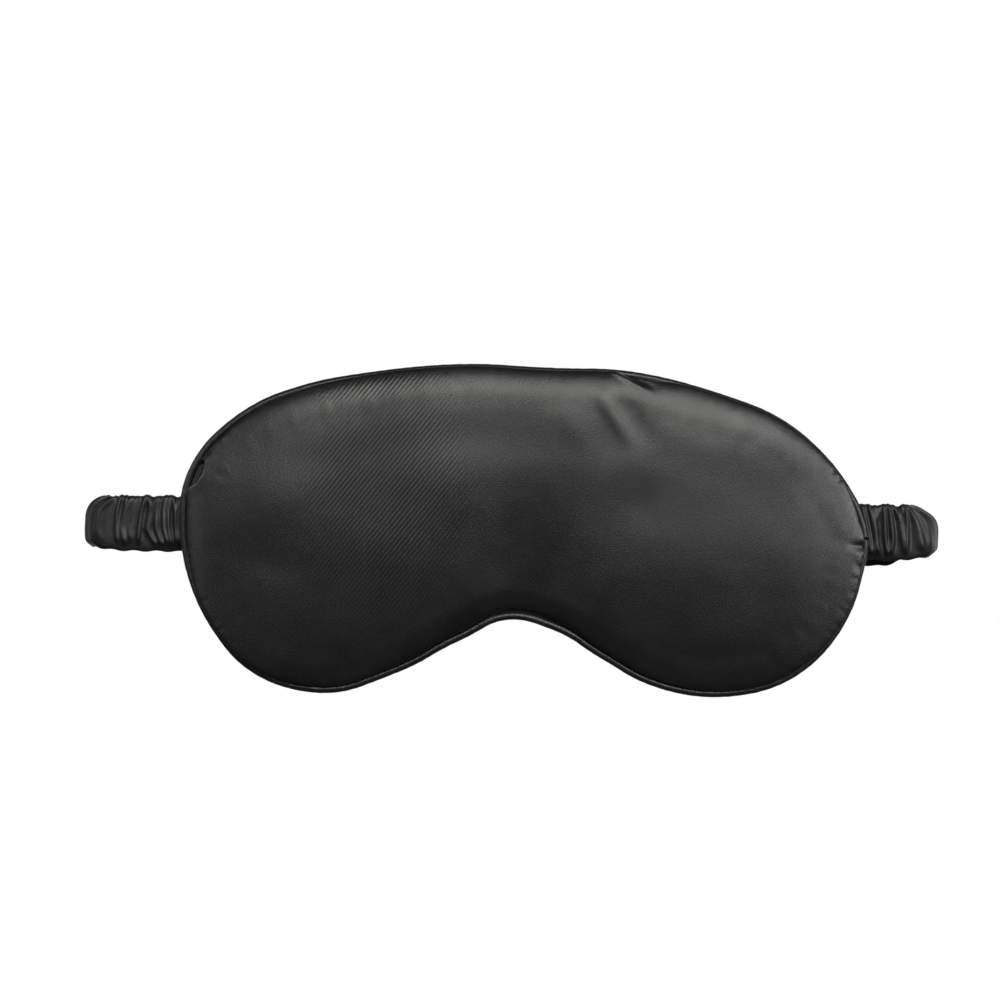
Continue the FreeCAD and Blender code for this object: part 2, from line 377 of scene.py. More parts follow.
def inflate(piece, pinned, pressure, spare, cap, frames=20):
    """Swells the piece as cloth sewn along its rim, with spare length; no point moves further than cap."""
    scene = bpy.context.scene
    start = positions(piece.data)
    piece.vertex_groups.new(name="sewn").add(pinned, 1.0, "REPLACE")
    cloth = piece.modifiers.new("cloth", "CLOTH")
    settings = cloth.settings
    settings.quality = 6
    settings.mass = 0.2
    settings.tension_stiffness = 30
    settings.compression_stiffness = 30
    settings.shear_stiffness = 12
    settings.bending_stiffness = 8
    settings.vertex_group_mass = "sewn"
    settings.shrink_min = -spare
    settings.use_pressure = True
    settings.uniform_pressure_force = pressure
    settings.effector_weights.gravity = 0
    for number in range(1, frames + 1):
        scene.frame_set(number)
    depsgraph = bpy.context.evaluated_depsgraph_get()
    moved = positions(piece.evaluated_get(depsgraph).data) - start
    piece.modifiers.clear()
    piece.vertex_groups.clear()
    scene.frame_set(1)
    moved = evened_out(piece.data, moved, pinned)
    size = np.maximum(np.linalg.norm(moved, axis=1, keepdims=True), 1e-9)
    set_positions(piece.data, start + moved * cap * np.tanh(size / cap) / size)


# How much of the piping shows in front of the pad, at places round the edge from the right side
PIPING_SHOWS = [
    ((105.7, -1.2), 1.3),
    ((104.4, 5.0), 1.9),
    ((101.8, 11.0), 1.3),
    ((99.5, 14.8), 0.5),
    ((86.2, 29.8), 0.3),
    ((50.0, 45.6), 0.4),
    ((42.0, 47.4), 0.9),
    ((33.0, 49.1), 1.1),
    ((27.0, 49.5), 0.4),
    ((-18.0, 50.9), 0.3),
    ((-44.0, 48.6), 0.5),
    ((-69.0, 43.6), 1.1),
    ((-91.2, 32.2), 2.1),
    ((-104.8, 12.2), 2.3),
    ((-105.6, 1.5), 2.2),
    ((-103.8, -11.0), 1.5),
    ((-101.0, -21.0), 0.8),
    ((-91.0, -37.0), 0.9),
    ((-80.0, -46.3), 1.5),
    ((-62.0, -50.6), 2.0),
    ((-37.0, -43.5), 2.1),
    ((-20.0, -34.4), 2.6),
    ((10.0, -30.7), 2.6),
    ((24.5, -39.2), 2.3),
    ((60.0, -50.4), 2.0),
    ((81.0, -45.4), 1.9),
    ((95.0, -32.0), 1.3),
    ((101.3, -22.0), 0.7),
    ((103.9, -13.0), 0.6),
    ((105.0, -8.0), 1.0),
]


def front_roll(along):
    """How far the front panel rolls over the piping at these lengths along the edge."""
    places = [FINE_LENGTHS[EDGE_TREE.find((x, 0, z))[1]] for (x, z), shown in PIPING_SHOWS]
    shown = np.interp(along, places, [shown for place, shown in PIPING_SHOWS], period=EDGE_LENGTH)
    uncovered = 3.4  # what would show of the piping without a roll
    hidden = 0.95  # how much of it each millimetre of roll hides
    return np.clip((uncovered - shown) / hidden, 0.6, 3.3)


def back_roll(along):
    """The back panel rolls over the piping evenly."""
    return np.full(len(along), 1.0)


def edge_fullness(points, inset, rolled):
    """Extra height near the edge: most at the top and where the panel rolls far over, little at the right."""
    full_edge = smooth_step(2.8, 6.5, inset) * (1 - smooth_step(6.5, 26.0, inset))
    full_edge *= smooth_step(0.0, 2.6, rolled) * smooth_step(-45.0, 25.0, points[:, 2])
    flat_end = smooth_step(70.0, 98.0, points[:, 0]) * (1 - smooth_step(14.0, 34.0, points[:, 2]))
    return EDGE_FULLNESS * full_edge * (1 - 0.85 * flat_end)


def padded_panel(name, side, height, roll):
    """A satin panel, swollen by its wadding; side is -1 for the front and 1 for the back."""
    steepness = 0.37  # below 1, the pad rises steeply at its edge and is flatter in the middle
    before_swelling = 0.96  # share of the height that the cloth starts with
    flat, faces, rolls, rim_count = flat_panel()
    share = pressed_up(flat, faces, rim_count) ** steepness
    points = np.column_stack([flat.real, np.full(len(flat), SEAM_Y), flat.imag])
    along, inset, normals = edge_coordinates(points)
    rolled = roll(along)
    flat = flat + normals * rolled * rolls
    points[:, 0], points[:, 2] = flat.real, flat.imag
    rise = RIM_GAP + (height - RIM_GAP) * share * before_swelling
    rise += edge_fullness(points, inset, rolled)
    points[:, 1] = SEAM_Y + side * rise
    if side > 0:
        faces = [face[::-1] for face in faces]
    piece = make_piece(name, points, faces)
    inflate(piece, list(range(rim_count)), pressure=4.0, spare=SPARE_LENGTH, cap=0.9)
    return piece


def orient(piece, side):
    """Turns the faces so that the middle of the panel looks along Y on its own side."""
    middle = min(piece.data.polygons, key=lambda polygon: (polygon.center - Vector((0.05, 0, 0))).length)
    if middle.normal.y * side < 0:
        piece.data.flip_normals()


def crease(points, start, end, half_width, depth):
    """How far in a crease presses each point."""
    x, z = points[:, 0], points[:, 2]
    way = np.array(end, float) - np.array(start, float)
    length = np.linalg.norm(way)
    way /= length
    share = ((x - start[0]) * way[0] + (z - start[1]) * way[1]) / length
    across = abs(-(x - start[0]) * way[1] + (z - start[1]) * way[0])
    fade = smooth_step(-0.15, 0.35, share)
    fade *= 1 - smooth_step(0.45, 1.1, share)
    valley = depth * np.exp(-((across / half_width) ** 2))
    return fade * valley


# Each is a line on the panel, (x, z) at both ends, with its half width and its depth.
# A negative depth is a raised fold.
FRONT_CREASES = [
    # The soft fold that runs down from the top, and the fainter one to its left
    dict(start=(21.5, 43.5), end=(32.5, 26.0), half_width=2.4, depth=-0.42),
    dict(start=(28.5, 42.0), end=(38.5, 25.0), half_width=4.0, depth=0.5),
    dict(start=(10.0, 38.0), end=(22.0, 22.0), half_width=4.0, depth=-0.15),
    # The pleat at the top, and the valley beside it
    dict(start=(25.5, 49.4), end=(38.0, 42.6), half_width=0.7, depth=-0.55),
    dict(start=(28.5, 49.3), end=(40.5, 43.6), half_width=1.0, depth=0.7),
    # A broad dent at the lower left
    dict(start=(-90.0, -8.0), end=(-64.0, -14.0), half_width=5.0, depth=0.25),
]

# Hollows with a sharp rim, where the panel folds in beside the piping: the middle, the half length
# and half width, the direction of its length in degrees, the depth, and how far the inner side overhangs
FRONT_HOLLOWS = [
    ((-100.3, 16.0), (4.9, 2.3), 58.0, 5.0, 1.2),
    ((-92.6, 28.4), (3.6, 0.7), 44.0, 1.5, 0.0),
    ((36.5, 47.3), (7.5, 0.7), -9.0, 2.2, 0.0),
]


def press_hollow(piece, middle, half_sizes, direction, depth, overhang):
    """Presses a hollow straight back, then pulls its inner rim out over it."""
    points = positions(piece.data)
    way = np.exp(1j * math.radians(direction))
    turned = (points[:, 0] - middle[0] + 1j * (points[:, 2] - middle[1])) / way
    distance = np.hypot(turned.real / half_sizes[0], turned.imag / half_sizes[1])
    free = smooth_step(0.5, 1.6, SEAM_Y - points[:, 1])
    press_back(piece, depth * (1 - smooth_step(0.55, 1.05, distance)) * free)
    inner_rim = smooth_step(0.8, 1.05, distance) * (1 - smooth_step(1.05, 2.2, distance))
    pulled = 1j * way * overhang * inner_rim * smooth_step(-0.2, 0.6, -turned.imag / half_sizes[1]) * free
    points = positions(piece.data)
    points[:, 0] += pulled.real
    points[:, 2] += pulled.imag
    set_positions(piece.data, points)


# Where the wadding is fuller (or thinner, if negative): the place, the two radii and the height
FRONT_SWELLS = [
    ((2.0, -13.0), (13.0, 20.0), -1.9),
    ((-24.0, 16.0), (18.0, 14.0), 0.55),
    ((-78.0, 10.0), (17.0, 13.0), 0.8),
    ((-45.0, -6.0), (16.0, 12.0), 0.45),
    ((48.0, -9.0), (18.0, 14.0), 0.6),
    ((34.0, 10.0), (9.0, 9.0), -0.35),
    ((80.0, -8.0), (15.0, 17.0), 0.8),
    ((72.0, -31.0), (20.0, 14.0), 0.5),
    ((-95.0, 5.0), (8.0, 10.0), 0.4),
    ((14.0, 30.0), (9.0, 10.0), 0.3),
    ((26.0, 19.0), (28.0, 11.0), 0.4),
]


def swell(points, place, radii, height):
    across = (points[:, 0] - place[0]) / radii[0]
    up = (points[:, 2] - place[1]) / radii[1]
    return height * np.exp(-(across**2) - up**2)


# Puckers where the seam gathers the satin: place on the edge, the length, half width and depth
FRONT_PUCKERS = [
    ((95.5, 19.7), 3.0, 0.45, 0.4),
    ((97.5, 17.3), 3.6, 0.45, 0.4),
    ((103.6, 4.4), 2.6, 0.7, 0.3),
    ((105.6, -3.7), 8.0, 1.25, 0.75),
    ((105.2, -7.2), 2.6, 0.6, 0.4),
    ((104.7, -10.4), 4.2, 0.9, 0.35),
    ((-63.0, -50.8), 3.0, 0.6, 0.5),
    ((-55.7, -50.5), 2.4, 0.6, 0.4),
    ((60.8, -50.6), 2.6, 0.6, 0.35),
    ((49.2, -50.3), 2.0, 0.6, 0.3),
]


def pucker(along, inset, place, length, half_width, depth):
    """How far in a pucker presses each point, with a low lip at both sides of its valley."""
    nearest = EDGE_TREE.find((place[0], 0, place[1]))[1]
    offset = (along - FINE_LENGTHS[nearest] + EDGE_LENGTH / 2) % EDGE_LENGTH - EDGE_LENGTH / 2
    inward = inset / length
    reach = 1 - smooth_step(0.2, 1.0, inward)
    width = half_width + 0.5 * inward
    valley = np.exp(-((offset / width) ** 2))
    lips = np.exp(-(((abs(offset) - 2.1 * width) / width) ** 2))
    return reach * depth * (valley - 0.15 * lips)


def seam_gathers(along, inset, count, depth):
    """Faint irregular puckers all the way round."""
    pressed = np.zeros(len(along))
    places = (np.arange(count) + RANDOM.uniform(-0.35, 0.35, count)) * EDGE_LENGTH / count
    for place in places:
        length = RANDOM.uniform(1.0, 3.5)
        width = RANDOM.uniform(0.6, 1.4)
        amount = depth * RANDOM.uniform(0.2, 1.0)
        offset = (along - place + EDGE_LENGTH / 2) % EDGE_LENGTH - EDGE_LENGTH / 2
        reach = 1 - smooth_step(0.0, length, inset - RIM_INSET)
        pressed += amount * reach * np.exp(-((offset / width) ** 2))
    return pressed


def press_in(piece, amounts):
    """Moves each point against its normal."""
    points = positions(piece.data)
    set_positions(piece.data, points - vertex_normals(piece.data) * amounts[:, None])


def press_back(piece, amounts):
    """Moves each point of the front straight back, no further than the seam."""
    points = positions(piece.data)
    y = points[:, 1]
    deepest = SEAM_Y - RIM_GAP - 0.1
    points[:, 1] = np.where(y < deepest, np.minimum(y + amounts, deepest), y)
    set_positions(piece.data, points)


def close_form(piece, side):
    """Turns the seam allowance in and closes the form along the seam plane."""
    bm = bmesh.new()
    bm.from_mesh(piece.data)
    rim = [edge for edge in bm.edges if edge.is_boundary]
    made = bmesh.ops.extrude_edge_only(bm, edges=rim)["geom"]
    turned = [item for item in made if isinstance(item, bmesh.types.BMVert)]
    places = np.array([vertex.co for vertex in turned]) / MM
    normals = edge_coordinates(places)[2]
    for vertex, normal in zip(turned, normals):
        vertex.co.x -= normal.real * ALLOWANCE * MM
        vertex.co.z -= normal.imag * ALLOWANCE * MM
        vertex.co.y = (SEAM_Y + side * RIM_GAP) * MM
    inner = [edge for edge in bm.edges if edge.is_boundary]
    bmesh.ops.triangle_fill(bm, edges=inner, use_beauty=True)
    bmesh.ops.recalc_face_normals(bm, faces=bm.faces)
    bm.to_mesh(piece.data)
    bm.free()
    piece.data.polygons.foreach_set("use_smooth", [True] * len(piece.data.polygons))


def wadding_from(panel, name, side):
    """The wadding inside a panel: the same form, smaller all round, with the front's swells in it."""
    mesh = panel.data.copy()
    piece = bpy.data.objects.new(name, mesh)
    bpy.context.scene.collection.objects.link(piece)
    points = positions(mesh)
    along, inset, normals = edge_coordinates(points)
    move = WADDING_INSET * (1 - smooth_step(3, 20, inset))
    points[:, 0] -= normals.real * move
    points[:, 2] -= normals.imag * move
    base = SEAM_Y + side * WADDING_GAP
    points[:, 1] = base + (points[:, 1] - SEAM_Y - side * RIM_GAP) * WADDING_SHARE
    if side < 0:
        points[:, 1] -= 0.8 * sum(swell(points, *place) for place in FRONT_SWELLS)
    set_positions(mesh, points)
    subdivided(piece, 1)
    return piece


def front_panel():
    coarse = padded_panel("satin_front", -1, FRONT_HEIGHT, front_roll)
    orient(coarse, -1)
    wadding = wadding_from(coarse, "wadding_front", -1)
    piece = subdivided(coarse, 2)
    points = positions(piece.data)
    along, inset = edge_coordinates(points)[:2]
    pressed = sum(crease(points, **fold) for fold in FRONT_CREASES)
    pressed -= sum(swell(points, *place) for place in FRONT_SWELLS)
    pressed += sum(pucker(along, inset, *place) for place in FRONT_PUCKERS)
    pressed += seam_gathers(along, inset, count=130, depth=0.1)
    free = smooth_step(0.5, 1.6, SEAM_Y - points[:, 1])
    press_in(piece, pressed * free)
    for place in FRONT_HOLLOWS:
        press_hollow(piece, *place)
    close_form(piece, -1)
    return piece, wadding


def over_tails(points):
    """Lifts the back panel over the sewn-in ends of the strap."""
    x, y, z = points.T
    over = smooth_step(94.0, 97.5, abs(x)) * (1 - smooth_step(8.6, 11.5, abs(z - STRAP_Z)))
    strap_back = STRAP_Y + 1.15
    lifted = np.maximum(y, strap_back)
    points[:, 1] = y + (lifted - y) * over
    return points


def back_panel():
    coarse = padded_panel("satin_back", 1, BACK_HEIGHT, back_roll)
    orient(coarse, 1)
    wadding = wadding_from(coarse, "wadding_back", 1)
    piece = subdivided(coarse, 2)
    points = over_tails(positions(piece.data))
    set_positions(piece.data, points)
    along, inset = edge_coordinates(points)[:2]
    press_in(piece, seam_gathers(along, inset, count=110, depth=0.25))
    close_form(piece, 1)
    return piece, wadding


# Piping


def piping(name, section, twist, half_gap):
    """Sweeps a section of (inward, y) points round the mask's edge, from the join back to the join."""
    step = 0.7
    count = round(EDGE_LENGTH / step)
    lengths = np.linspace(half_gap, EDGE_LENGTH - half_gap, count)
    nearest = np.minimum(np.searchsorted(FINE_LENGTHS, lengths), len(FINE_POINTS) - 1)
    edge, normals = FINE_POINTS[nearest], FINE_WAYS[nearest] * -1j
    rows = []
    for place, normal, length in zip(edge, normals, lengths):
        inward, y = twist(section, length)
        flat = place - normal * (PIPING_R + inward)
        rows.append(np.column_stack([flat.real, SEAM_Y + y, flat.imag]))
    return make_piece(name, np.concatenate(rows), capped_faces(count, len(section)))


def round_section(radius, count):
    angles = np.linspace(0, 2 * math.pi, count, endpoint=False)
    return np.column_stack([radius * np.cos(angles), radius * np.sin(angles)])


def piping_cover():
    """The bias strip round the cord, and its flange, which is caught in the seam."""
    angles = np.linspace(math.radians(14), math.radians(346), 22)
    tube = np.column_stack([PIPING_R * np.cos(angles), PIPING_R * np.sin(angles)])
    flange = np.array([(6.5, -0.3), (6.5, 0.3)])
    section = np.concatenate([tube, flange])
    waves = RANDOM.uniform(0, 2 * math.pi, 4)

    def wrinkled(section, length):
        """Faint diagonal drag lines, as a bias strip has."""
        inward, y = section[:, 0].copy(), section[:, 1].copy()
        angle = np.arctan2(y, inward)
        on_tube = abs(inward) < PIPING_R + 0.01
        drag = np.sin(length * 1.9 + 2 * angle + waves[0]) * np.sin(length * 0.37 + waves[1])
        drag = drag + 0.7 * np.sin(length * 1.13 - angle + waves[2]) * np.sin(length * 0.21 + waves[3])
        grow = 1 + np.where(on_tube, 0.022 * drag, 0)
        return inward * grow, y * grow

    return piping("satin_piping", section, wrinkled, half_gap=0.12)


def piping_cord():
    """A twisted cotton cord of three strands."""

    def stranded(section, length):
        inward, y = section[:, 0], section[:, 1]
        angle = np.arctan2(y, inward)
        grow = 0.96 + 0.04 * abs(np.cos(1.5 * angle + length * 1.2))
        return inward * grow, y * grow

    return piping("piping_cord_twisted", round_section(CORD_R, 12), stranded, half_gap=1.2)


# Strap


def strap_path(side, lengths):
    """Points (x, y) of half the strap, from TAIL_X out and round to the back, and the way each faces."""
    turn_x = BOW_X + side * BOW_HALF_SPAN
    straight = abs(turn_x) - TAIL_X
    on_turn = np.clip(lengths - straight, 0, TURN_LENGTH)
    on_bow = np.maximum(lengths - straight - TURN_LENGTH, 0)
    angle = on_turn / TURN_R - math.pi / 2
    x = turn_x + side * TURN_R * np.cos(angle)
    y = TURN_Y + TURN_R * np.sin(angle)
    before = np.minimum(lengths - straight, 0)
    x = x + side * before
    back = BOW_ANGLE + on_bow / BOW_R
    round_back = on_bow > 0
    x = np.where(round_back, BOW_X + side * BOW_R * np.cos(back), x)
    y = np.where(round_back, BOW_Y + BOW_R * np.sin(back), y)
    facing = np.where(round_back, back, angle)
    out_x, out_y = side * np.cos(facing), np.sin(facing)
    return x, y, out_x, out_y


def half_lengths(side):
    """How far along the strap, from TAIL_X, its turn starts and ends, and the middle of its back is."""
    start = abs(BOW_X + side * BOW_HALF_SPAN) - TAIL_X
    turn_end = start + TURN_LENGTH
    return start, turn_end, turn_end + BOW_R * (math.pi / 2 - BOW_ANGLE)


def oval_section(half_count):
    """Shares of the half width and half thickness round a flattened oval, front first."""
    t = np.linspace(-1, 1, half_count + 1)[:-1]
    across = np.sin(t * math.pi / 2)
    thick = np.sqrt(np.maximum(1 - abs(across) ** np.where(across > 0, 12, 5), 0))
    return np.concatenate([across, -across]), np.concatenate([thick, -thick])


# Ridges of the gathered satin beside the mask: how far each is along the strap from the edge of the
# mask at the top, above the middle, below it and at the bottom; its half width; its height; its lowest end
RIDGE_HEIGHTS = (9.0, 4.0, -1.5, -6.0)
LEFT_RIDGES = [
    ((0.3, 0.7, 0.9, 0.2), 0.5, 0.7, -7.0),
    ((2.8, 2.0, 1.9, 1.3), 0.6, 1.0, -7.0),
    ((0.6, 1.6, 1.9, 1.9), 0.5, 0.8, 3.5),
    ((3.6, 4.3, 4.1, 3.1), 0.6, 1.0, -7.0),
    ((5.0, 5.7, 5.6, 4.2), 0.6, 1.0, -7.0),
    ((7.0, 7.8, 7.8, 6.2), 0.7, 1.1, -7.5),
    ((7.6, 9.6, 10.6, 8.2), 0.7, 0.9, -7.5),
    ((10.2, 9.8, 10.4, 10.4), 0.5, 0.8, 4.0),
    ((11.0, 12.4, 13.1, 13.4), 0.6, 1.0, -6.5),
    ((14.0, 14.9, 16.0, 15.8), 0.8, 0.8, -6.0),
    ((15.4, 17.3, 18.5, 17.6), 0.8, 0.9, -7.0),
    ((17.4, 17.4, 18.3, 18.3), 0.5, 0.7, 4.5),
    ((19.2, 19.9, 20.1, 19.7), 0.5, 1.0, -6.5),
    ((22.2, 25.2, 25.8, 24.6), 0.7, 0.45, -6.0),
]
RIGHT_RIDGES = [
    ((-3.6, -2.6, -1.6, -1.0), 0.6, 0.8, -7.5),
    ((-1.5, -0.3, 1.0, 1.6), 0.6, 0.9, -7.5),
    ((0.7, 2.0, 3.0, 4.1), 0.6, 0.9, -7.5),
    ((2.8, 2.6, 3.2, 2.6), 0.6, 0.8, -7.5),
    ((4.4, 3.4, 3.0, 3.0), 0.5, 0.6, 3.5),
    ((5.4, 5.7, 5.9, 6.6), 0.5, 1.1, -7.5),
    ((6.9, 7.7, 8.3, 7.8), 0.6, 1.0, -7.5),
    ((8.6, 10.4, 11.3, 12.0), 0.7, 0.9, -6.5),
    ((11.8, 10.9, 11.2, 11.6), 0.5, 0.8, 4.5),
    ((12.8, 12.6, 12.6, 12.4), 0.6, 1.0, -7.0),
    ((14.2, 15.2, 16.4, 17.4), 0.9, 0.8, -6.0),
    ((16.0, 18.0, 19.4, 20.0), 0.8, 0.5, -5.0),
]


def further_ridges(start, end):
    """Irregular ridges for the rest of the strap."""
    ridges = []
    place = start
    while place < end:
        place += RANDOM.uniform(1.7, 3.4)
        lean, bow = RANDOM.uniform(-0.9, 0.9, 2)
        levels = (place + lean, place + 0.5 * bow, place - 0.5 * bow, place - lean)
        low = RANDOM.choice([-8.5, -7.0, RANDOM.uniform(-6.0, 5.0)], p=[0.6, 0.25, 0.15])
        ridges.append((levels, RANDOM.uniform(0.5, 0.95), RANDOM.uniform(0.6, 1.1), low))
    return ridges


def ridge_heights(lengths, z, ridges):
    """Height share at each length (rows) and height z (columns), 0 in a valley to 1 on a ridge."""
    left = np.ones((len(lengths), len(z)))
    for levels, half_width, strength, low in ridges:
        line = np.interp(-z, [-height for height in RIDGE_HEIGHTS], levels)
        offset = (lengths[:, None] - line) / (1.35 * half_width)
        amount = strength * smooth_step(low - 1.0, low + 2.5, z)
        left *= 1 - np.minimum(amount * np.exp(-(offset**2)), 0.98)
    return 1 - left


def strap_surface(side, lengths, section, shape):
    """Rows of points round the strap; shape gives half width, half thickness, shift outwards and drop."""
    x, y, out_x, out_y = strap_path(side, lengths)
    across, thick = section
    half_width, half_thickness, shift, drop = shape(lengths, across)
    depth = half_thickness * thick
    points = np.empty((len(lengths), len(across), 3))
    points[:, :, 0] = (x[:, None] + side * shift) + out_x[:, None] * depth
    points[:, :, 1] = y[:, None] + out_y[:, None] * depth
    points[:, :, 2] = STRAP_Z - drop + across * half_width
    return list(points)


def bend_shape(side, lengths, z):
    """At the turn the strap's top bends earlier and its foot rises; the back run hangs lower."""
    start, turn_end, middle = half_lengths(side)
    turn = np.exp(-(((lengths - (start + turn_end) / 2) / 8.5) ** 2))[:, None]
    reach_in = 4.6 if side < 0 else 7.4
    shift = -reach_in * np.clip(z / 9.0, 0, 1) ** 3 * turn
    shift = shift - 1.0 * np.clip((-5.5 - z) / 3.0, 0, 1) ** 2 * turn
    hanging = smooth_step(turn_end + 3, turn_end + 11, lengths)
    hanging = hanging * (1 - smooth_step(turn_end + 30, middle - 20, lengths))
    drop = (2.1 if side > 0 else 0.3) * hanging[:, None]
    return turn, shift, drop


def sleeve_shape(side, ridges):
    """The shape of the ruched sleeve on one side."""
    edge = EDGE_X - TAIL_X
    # All four are drawn, although only two are used, so that the ridges drawn after them stay the same
    frill_phase, loose_phase = RANDOM.uniform(0, 2 * math.pi, 4)[:2]

    def shape(lengths, across):
        z = across * SLEEVE_HALF
        ridge = ridge_heights(lengths - edge, z, ridges)
        turn, shift, drop = bend_shape(side, lengths, z)
        free = smooth_step(edge - 3.4, edge + 0.2, lengths)[:, None]
        frill = 0.5 * (1 - ridge) + 0.2 * np.sin(lengths * 0.9 + frill_phase)[:, None]
        rising = np.where(across < 0, 1.2, 0.2) * turn
        half_width = SLEEVE_HALF - free * (frill * smooth_step(0.3, 1, abs(across)) + rising)
        foot = smooth_step(-8.9, -5.5, z)
        loose = 0.1 * np.sin(z * 0.7 + lengths[:, None] * 0.35 + loose_phase)
        height = (1.45 + loose) * (1 - 0.5 * turn) * (0.3 + 0.7 * foot)
        half_thickness = 0.95 + free * (0.5 * turn - 0.12 + height * ridge)
        return half_width, half_thickness, shift, drop

    return shape


def flat_shape(side, half_width, half_thickness):
    """The shape of a smooth band along the same path."""

    def shape(lengths, across):
        turn, shift, drop = bend_shape(side, lengths, across * half_width)
        narrow = half_width - np.where(across < 0, 1.2, 0.2) * turn
        return narrow, half_thickness, shift, drop

    return shape


def tube_piece(name, outer_rows, inner_rows):
    """A closed sleeve: its outside, its inside, and a rim at each end."""
    around = len(outer_rows[0])
    points = np.concatenate(outer_rows + inner_rows)
    faces = loft_faces(len(outer_rows), around)
    base = len(outer_rows) * around
    faces += [tuple(base + i for i in face)[::-1] for face in loft_faces(len(inner_rows), around)]
    last_outer = (len(outer_rows) - 1) * around
    last_inner = base + (len(inner_rows) - 1) * around
    for i in range(around):
        j = (i + 1) % around
        faces.append((i, base + i, base + j, j))
        faces.append((last_outer + i, last_outer + j, last_inner + j, last_inner + i))
    piece = make_piece(name, points, faces)
    fix_normals(piece)
    piece.data.set_sharp_from_angle(angle=math.radians(75))
    return piece


def fix_normals(piece):
    """Makes all faces look outwards."""
    bm = bmesh.new()
    bm.from_mesh(piece.data)
    bmesh.ops.recalc_face_normals(bm, faces=bm.faces)
    bm.to_mesh(piece.data)
    bm.free()


def solid_piece(name, rows):
    """A solid band, closed at both ends."""
    piece = make_piece(name, np.concatenate(rows), capped_faces(len(rows), len(rows[0])))
    fix_normals(piece)
    return piece


SECTION = oval_section(34)
FLAT_SECTION = oval_section(12)


def strap_stretch(side, name, shape, fine, coarse, last_row=None):
    """The gathered sleeve and its elastic at these lengths of the strap, and the sleeve's last row."""
    outer = strap_surface(side, fine, SECTION, shape)
    if last_row is not None:
        outer[-1] = last_row
    inner = strap_surface(side, coarse, SECTION, flat_shape(side, *ROOM))
    sleeve = tube_piece("sleeve_" + name, outer, inner)
    band = strap_surface(side, coarse, FLAT_SECTION, flat_shape(side, *ELASTIC_HALF))
    return sleeve, solid_piece("elastic_" + name, band), outer[-1]


def strap_stub(side, name, shape):
    """The strap from inside the seam to the far end of its turn."""
    turn_end = half_lengths(side)[1]
    fine = np.linspace(0, turn_end, round(turn_end / 0.25))
    coarse = np.linspace(0, turn_end, 30)
    return strap_stretch(side, "stub_" + name, shape, fine, coarse)[:2]


def loop_half(side, name, shape, middle_row):
    """Half of the strap round the back of the head, from the end of its turn to the middle."""
    turn_end, middle = half_lengths(side)[1:]
    fine = np.linspace(turn_end, middle, round((middle - turn_end) / 0.4))
    coarse = np.linspace(turn_end, middle, 34)
    return strap_stretch(side, "loop_" + name, shape, fine, coarse, middle_row)


# Materials


NOISE_LOW, NOISE_HIGH = 0.3, 0.7  # the range that a noise texture mostly keeps to
WAVE_PERIOD = 0.31416  # between the lines of a wave texture of scale 1


def set_inputs(node, **values):
    """Sets a node's inputs; an underscore stands for a space in an input's name."""
    for name, value in values.items():
        node.inputs[name.replace("_", " ")].default_value = value


def new_material(name, **values):
    """A material and its shader, with the shader's inputs set."""
    material = bpy.data.materials.new(name)
    material.use_nodes = True
    shader = material.node_tree.nodes["Principled BSDF"]
    set_inputs(shader, **values)
    return material, shader


def add_node(material, kind, links):
    """A node whose inputs are linked to other nodes' outputs."""
    node = material.node_tree.nodes.new(kind)
    for socket, output in links.items():
        material.node_tree.links.new(output, node.inputs[socket])
    return node


def colour_between(material, shader, factor, dark, light):
    ramp = add_node(material, "ShaderNodeValToRGB", {"Fac": factor})
    ramp.color_ramp.elements[0].color = (*dark, 1)
    ramp.color_ramp.elements[0].position = NOISE_LOW
    ramp.color_ramp.elements[1].color = (*light, 1)
    ramp.color_ramp.elements[1].position = NOISE_HIGH
    material.node_tree.links.new(ramp.outputs["Color"], shader.inputs["Base Color"])


def value_between(material, shader, socket, factor, low, high):
    span = add_node(material, "ShaderNodeMapRange", {"Value": factor})
    set_inputs(span, From_Min=NOISE_LOW, From_Max=NOISE_HIGH, To_Min=low, To_Max=high)
    material.node_tree.links.new(span.outputs["Result"], shader.inputs[socket])


def add_bump(material, shader, height, strength, distance):
    bump = add_node(material, "ShaderNodeBump", {"Height": height})
    set_inputs(bump, Strength=strength, Distance=distance)
    material.node_tree.links.new(bump.outputs["Normal"], shader.inputs["Normal"])


def object_places(material, turn=(0, 0, 0)):
    coordinates = add_node(material, "ShaderNodeTexCoord", {})
    mapping = add_node(material, "ShaderNodeMapping", {"Vector": coordinates.outputs["Object"]})
    set_inputs(mapping, Rotation=turn)
    return mapping.outputs["Vector"]


def noise_of(material, place, scale, detail=3.0):
    noise = add_node(material, "ShaderNodeTexNoise", {"Vector": place})
    set_inputs(noise, Scale=scale, Detail=detail)
    return noise.outputs["Fac"]


def twill_of(material, place, period_mm):
    wave = add_node(material, "ShaderNodeTexWave", {"Vector": place})
    set_inputs(wave, Scale=WAVE_PERIOD / (period_mm * MM), Distortion=0.6, Detail_Scale=2.0)
    return wave.outputs["Fac"]


def blend_of(material, first, second, share=None):
    """Two patterns mixed half and half, or by the output share, from 0 for the first to 1."""
    mix = add_node(material, "ShaderNodeMix", {"A": first, "B": second})
    if share is None:
        set_inputs(mix, Factor=0.5)
    else:
        material.node_tree.links.new(share, mix.inputs["Factor"])
    return mix.outputs["Result"]


